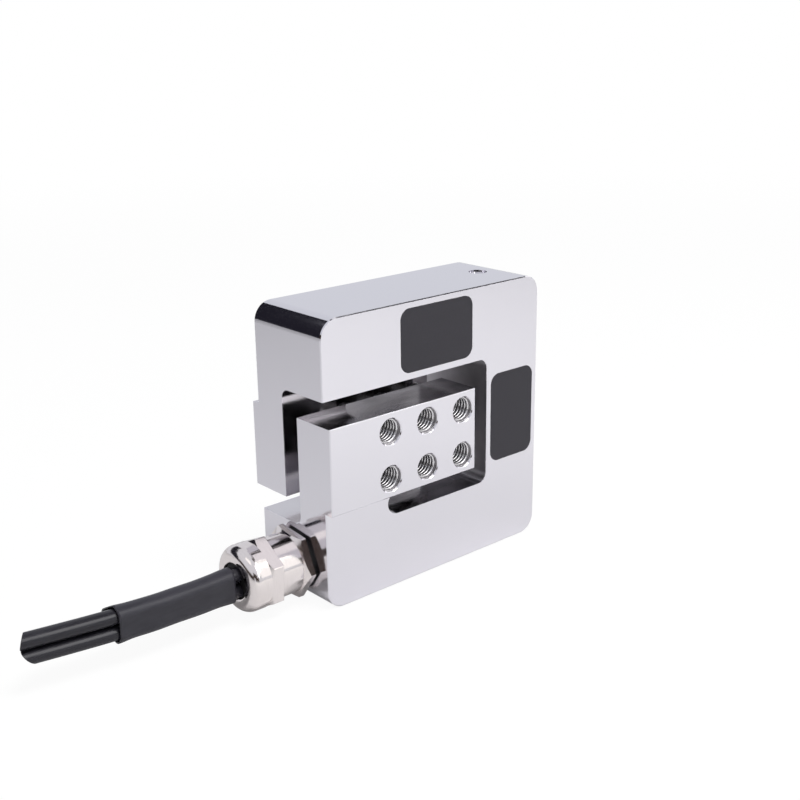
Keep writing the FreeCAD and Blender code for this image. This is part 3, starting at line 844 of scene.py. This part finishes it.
def gauge_film():
    """Amber film with etched lines of foil."""
    material, tree, shader = new_finish("gauge_film")
    lines = add_node(
        tree,
        "ShaderNodeTexWave",
        {"wave_type": "BANDS", "bands_direction": "DIAGONAL"},
        Vector=object_place(tree),
        Scale=line_scale,
    )
    foil = calculate(tree, "GREATER_THAN", lines.outputs["Fac"], foil_level)
    feed(tree, shader.inputs["Base Color"], mix_colours(tree, foil, amber, foil_tone))
    feed(tree, shader.inputs["Metallic"], calculate(tree, "MULTIPLY", foil, foil_metal))
    feed(tree, shader.inputs["Roughness"], spread(tree, object_noise(tree, 0.8 * mm), 0.25, 0.38))
    return material


film_finish = gauge_film()
print(film_finish.name, "ready")

# %% [markdown]
# ## Giving each piece its finish
# The solids keep their shape and get their finish through their material slots. New pieces also get a
# body to ride on, and cables and sleeve take the place of the plain solids.


# %% Finish the solids
def coat(finish, *names):
    """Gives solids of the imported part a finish."""
    for name in names:
        slots = nodes[name].data.materials
        slots.clear()
        slots.append(finish)


pocket_names = ["z_front", "z_rear", "x_front", "x_rear", "y_upper", "y_lower"]
coat(block_finish, "sensor_body")
coat(screw_finish, "duct_plug")
coat(gland_finish, "gland_body", "gland_nut")
coat(washer_finish, "gland_washer")
coat(seal_finish, "gland_seal")
coat(claw_finish, "gland_claw")
coat(cover_finish, "z_front_cover", "z_rear_cover", "x_front_cover", "x_rear_cover")
coat(block_finish, "y_upper_cover", "y_lower_cover")
coat(film_finish, *[name + "_gauge" for name in pocket_names])
coat(board_finish, "z_terminal_board", "x_terminal_board", "y_terminal_board")
coat(lead_finish, "z_lead", "x_lead", "y_lead")
print(f"{len(nodes)} solids finished")

# %% [markdown]
# The thread tree runs as a modifier on an empty object. Its inputs are set by their identifiers before it
# is first evaluated, and the result is kept as a plain mesh, so that nothing depends on the tree
# afterwards.

# %% Make the threads a plain mesh
thread_piece = add_object("mounting_threads", bpy.data.meshes.new("mounting_threads"))
thread_nodes = thread_piece.modifiers.new("tapped_holes", "NODES")
thread_nodes.node_group = thread_tree
for item in thread_tree.interface.items_tree:
    if item.in_out == "INPUT":
        thread_nodes[item.identifier] = thread_sizes.get(item.name, thread_finish)
thread_mesh = as_mesh(thread_piece)
thread_piece.modifiers.remove(thread_nodes)
thread_piece.data = thread_mesh
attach(thread_piece, "root")
print(f"threads: {len(thread_mesh.polygons)} faces")

# %% [markdown]
# The cables and the sleeve get their finishes and ride on the root body, and the plain solids that
# they replace are hidden.

# %% Hand over the cables and the sleeve
sleeve.data.materials.append(sleeve_finish)
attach(sleeve, "root")
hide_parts("cable_sleeve")
for name, cable in cables.items():
    cable.data.materials.append(jacket_finish)
    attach(cable, "root")
    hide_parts(name)
print("cables and sleeve handed over")

# %% [markdown]
# ## The studio
# Polished metal has hardly a look of its own: it shows the room. A product photographer puts it on white
# paper, lets the paper fall off to grey behind it, and stands dark cards where an edge should draw a dark
# line. The same is done here, with the grey of the floor's glow painted in as shade. The floor is white to
# the camera and keeps a faint shadow, and its glow is what the polished faces reflect: white to the front
# right, and with painted shade a little greyer close to the block and grey to the left rear. Light Path
# tells a ray from the camera or from polished metal from one that only brings light.


# %% Sheets and rays of the studio
def stage_sheet(name, points, faces, material):
    """A sheet of the studio, which is no part of the object."""
    mesh = bpy.data.meshes.new(name)
    mesh.from_pydata(points, [], faces)
    mesh.materials.append(material)
    piece = add_object(name, mesh)
    return piece


def ray_kinds(tree):
    """1 for rays from the camera, polished metal or glass, and 1 for rays from the camera alone."""
    rays = add_node(tree, "ShaderNodeLightPath").outputs
    polished = calculate(tree, "MAXIMUM", rays["Is Camera Ray"], rays["Is Glossy Ray"])
    direct = calculate(tree, "MAXIMUM", polished, rays["Is Transmission Ray"])
    return direct, rays["Is Camera Ray"]


print("studio helpers ready")

# %% Floor
paper_white = grey(0.87)
# Painted shade: in reflections the paper's glow is greyer close to the block and grey at the left rear.
painted_shade_by_block = grey(0.77)
block_shade = (0.02, 0.18)
painted_rear_shade = (0.70, 0.70, 0.71, 1.0)
rear_fall = (-0.03, 0.07)
rear_weight = 0.75
side_weight = 0.65
paper_in_light = grey(0.9)
glow_share = 0.14
camera_glow = (0.80, 0.86)
camera_glow_reach = (0.35, 1.1)


def paper_finish():
    """White paper whose glow in reflections carries painted shade: greyer close to the block, grey at the
    left rear.
    """
    material, tree, shader = new_finish("studio_paper")
    shader.inputs["Roughness"].default_value = 1.0
    shader.inputs["Specular IOR Level"].default_value = 0.0
    axes = object_axes(tree)
    rearwards = calculate(tree, "MULTIPLY", axes["Y"], rear_weight)
    rightwards = calculate(tree, "MULTIPLY", axes["X"], side_weight)
    fall = ramp(tree, calculate(tree, "SUBTRACT", rearwards, rightwards), *rear_fall)
    length = add_node(tree, "ShaderNodeVectorMath", {"operation": "LENGTH"})
    feed(tree, length.inputs[0], object_place(tree))
    distance = length.outputs["Value"]
    # Painted shade close to the block and at the left rear, seen only in reflections.
    front = mix_colours(tree, ramp(tree, distance, *block_shade), painted_shade_by_block, paper_white)
    graded = mix_colours(tree, fall, front, painted_rear_shade)

    direct, from_camera = ray_kinds(tree)
    seen = mix_colours(tree, from_camera, graded, grey(1.0))
    feed(tree, shader.inputs["Base Color"], mix_colours(tree, direct, paper_in_light, seen))
    glow = add_node(tree, "ShaderNodeEmission", Color=seen, Strength=1.0)
    far_glow = ramp(tree, distance, *camera_glow_reach, *camera_glow)
    camera_share = calculate(tree, "MULTIPLY", from_camera, far_glow)
    share = calculate(tree, "ADD", calculate(tree, "MULTIPLY", direct, glow_share), camera_share)
    both = tree.nodes.new("ShaderNodeMixShader")
    for socket, source in zip(both.inputs, (share, shader.outputs[0], glow.outputs[0])):
        tree.links.new(source, socket)
    feed(tree, tree.nodes["Material Output"].inputs["Surface"], both.outputs[0])
    return material


floor_half = 3.0
floor_corners = [
    (-floor_half, -floor_half, 0.0),
    (floor_half, -floor_half, 0.0),
    (floor_half, floor_half, 0.0),
    (-floor_half, floor_half, 0.0),
]
stage_sheet("studio_floor", floor_corners, [(0, 1, 2, 3)], paper_finish())
print("floor laid")

# %% [markdown]
# Curved cards stand round the block, outside the picture. Each is a strip on an arc that glows by itself,
# in one shade or fading to another at its top. They are seen only in reflections, so they throw no shadow
# and no view shows them.

# %% How a card is made
card_steps = 24


def card_finish(name, shade, edge_shade, fade_from):
    """A glow that fades from one shade to another towards the card's top."""
    material, tree, _ = new_finish(name)
    height = add_node(tree, "ShaderNodeAttribute", {"attribute_name": "height_share"}).outputs["Fac"]
    fading = mix_colours(tree, ramp(tree, height, fade_from, 1.0), shade, edge_shade)
    glow = add_node(tree, "ShaderNodeEmission", Color=fading)
    feed(tree, tree.nodes["Material Output"].inputs["Surface"], glow.outputs[0])
    return material


def curved_card(name, distance, azimuths, bottoms, tops, shade, edge_shade, fade_from=0.85):
    """A card on an arc round the block, between two azimuths in degrees from Y towards X.

    Its bottom and top slope from a first height to a second, and its shade fades to another one at the top.
    """
    points = []
    for step in range(card_steps + 1):
        share = step / card_steps
        azimuth = math.radians(azimuths[0] + (azimuths[1] - azimuths[0]) * share)
        east = distance * math.sin(azimuth)
        north = distance * math.cos(azimuth)
        points.append((east, north, bottoms[0] + (bottoms[1] - bottoms[0]) * share))
        points.append((east, north, tops[0] + (tops[1] - tops[0]) * share))
    faces = [(2 * step, 2 * step + 2, 2 * step + 3, 2 * step + 1) for step in range(card_steps)]
    card = stage_sheet(name, points, faces, card_finish(name, shade, edge_shade, fade_from))
    heights = card.data.attributes.new("height_share", "FLOAT", "POINT")
    heights.data.foreach_set("value", [0.0, 1.0] * (card_steps + 1))
    card.visible_camera = False
    card.visible_diffuse = False
    card.visible_shadow = False


print("card of", card_steps, "steps")

# %% [markdown]
# Dark cards give polished metal its drawing. Two black ones at the left rear make the band on the rounded
# top edge, and a narrow one at the right the thin line between top and front. Brown ones stand for the
# dim room round the camera, and a low one, close by, for the camera's stand: it darkens the gland's front
# flat. A grey one, high up at the front right, stands for the unlit ceiling.

# %% Dark cards
black = (0.017, 0.016, 0.023, 1.0)
brown = (0.055, 0.040, 0.034, 1.0)
shadow_grey = (0.12, 0.11, 0.11, 1.0)
pale = (0.62, 0.62, 0.66, 1.0)
curved_card("left_card", 0.45, (-38.0, 7.0), (0.08, 0.24), (0.39, 0.58), black, pale, 0.92)
curved_card("corner_card", 0.45, (-60.0, -38.0), (0.0, 0.08), (0.18, 0.34), black, pale, 0.92)
curved_card("edge_card", 0.45, (105.5, 116.5), (0.395, 0.625), (0.50, 0.72), black, black)
curved_card("front_room_card", 1.0, (-172.0, -139.5), (0.04, 0.04), (0.28, 0.28), brown, pale)
curved_card("left_room_card", 1.0, (-130.0, -58.0), (0.04, 0.04), (0.28, 0.28), brown, pale)
curved_card("tripod_card", 0.34, (-149.0, -123.0), (0.065, 0.065), (0.15, 0.15), brown, brown)
curved_card("ceiling_card", 0.46, (55.0, 165.0), (0.92, 0.92), (1.80, 1.80), shadow_grey, shadow_grey)
print("dark cards standing")

# %% [markdown]
# Two white softboxes stand at the front right and at the left, and a strip of glare at the front draws
# the long highlight along cables and sleeve. Those are nearly black and mirror only a small share of the
# light, so the strip is several times brighter than white.

# %% Bright cards
white = grey(1.20)
soft_white = (0.85, 0.85, 0.87, 1.0)
glare = grey(4.5)
curved_card("front_softbox", 0.52, (85.0, 165.0), (0.08, 0.08), (0.98, 0.98), white, soft_white, 0.6)
curved_card("side_softbox", 0.50, (-132.0, -82.0), (0.56, 0.56), (1.20, 1.20), white, soft_white, 0.7)
curved_card("front_strip", 0.48, (146.0, 189.0), (0.42, 0.12), (0.74, 0.60), glare, glare)
print("bright cards standing")

# %% [markdown]
# A white sky lights everything softly, and one large lamp, nearly overhead and a little to the front,
# gives the dull pieces some form. The lamp is kept out of reflections, so that polished faces show only
# paper, cards and sky.

# %% Sky and lamp
sky_light = (0.36, 0.36, 0.37, 1.0)
sky_mirrored = (0.745, 0.76, 0.81, 1.0)
lamp_place = Vector((0.06, -0.30, 0.92))
lamp_width = 0.45
lamp_power = 8.0

sky = bpy.data.worlds.new("studio_sky")
sky.use_nodes = True
bpy.context.scene.world = sky
sky_tree = sky.node_tree
direct, from_camera = ray_kinds(sky_tree)
reflected = mix_colours(sky_tree, direct, sky_light, sky_mirrored)
sky_colour = mix_colours(sky_tree, from_camera, reflected, grey(1.0))
feed(sky_tree, sky_tree.nodes["Background"].inputs["Color"], sky_colour)

lamp_data = bpy.data.lights.new("soft_lamp", "AREA")
lamp_data.shape = "DISK"
lamp_data.size = lamp_width
lamp_data.energy = lamp_power
lamp = add_object("soft_lamp", lamp_data)
lamp.location = lamp_place
lamp.rotation_mode = "QUATERNION"
lamp.rotation_quaternion = (-lamp_place).to_track_quat("-Z", "Y")
lamp.visible_glossy = False
lamp.visible_camera = False
print("studio lit")
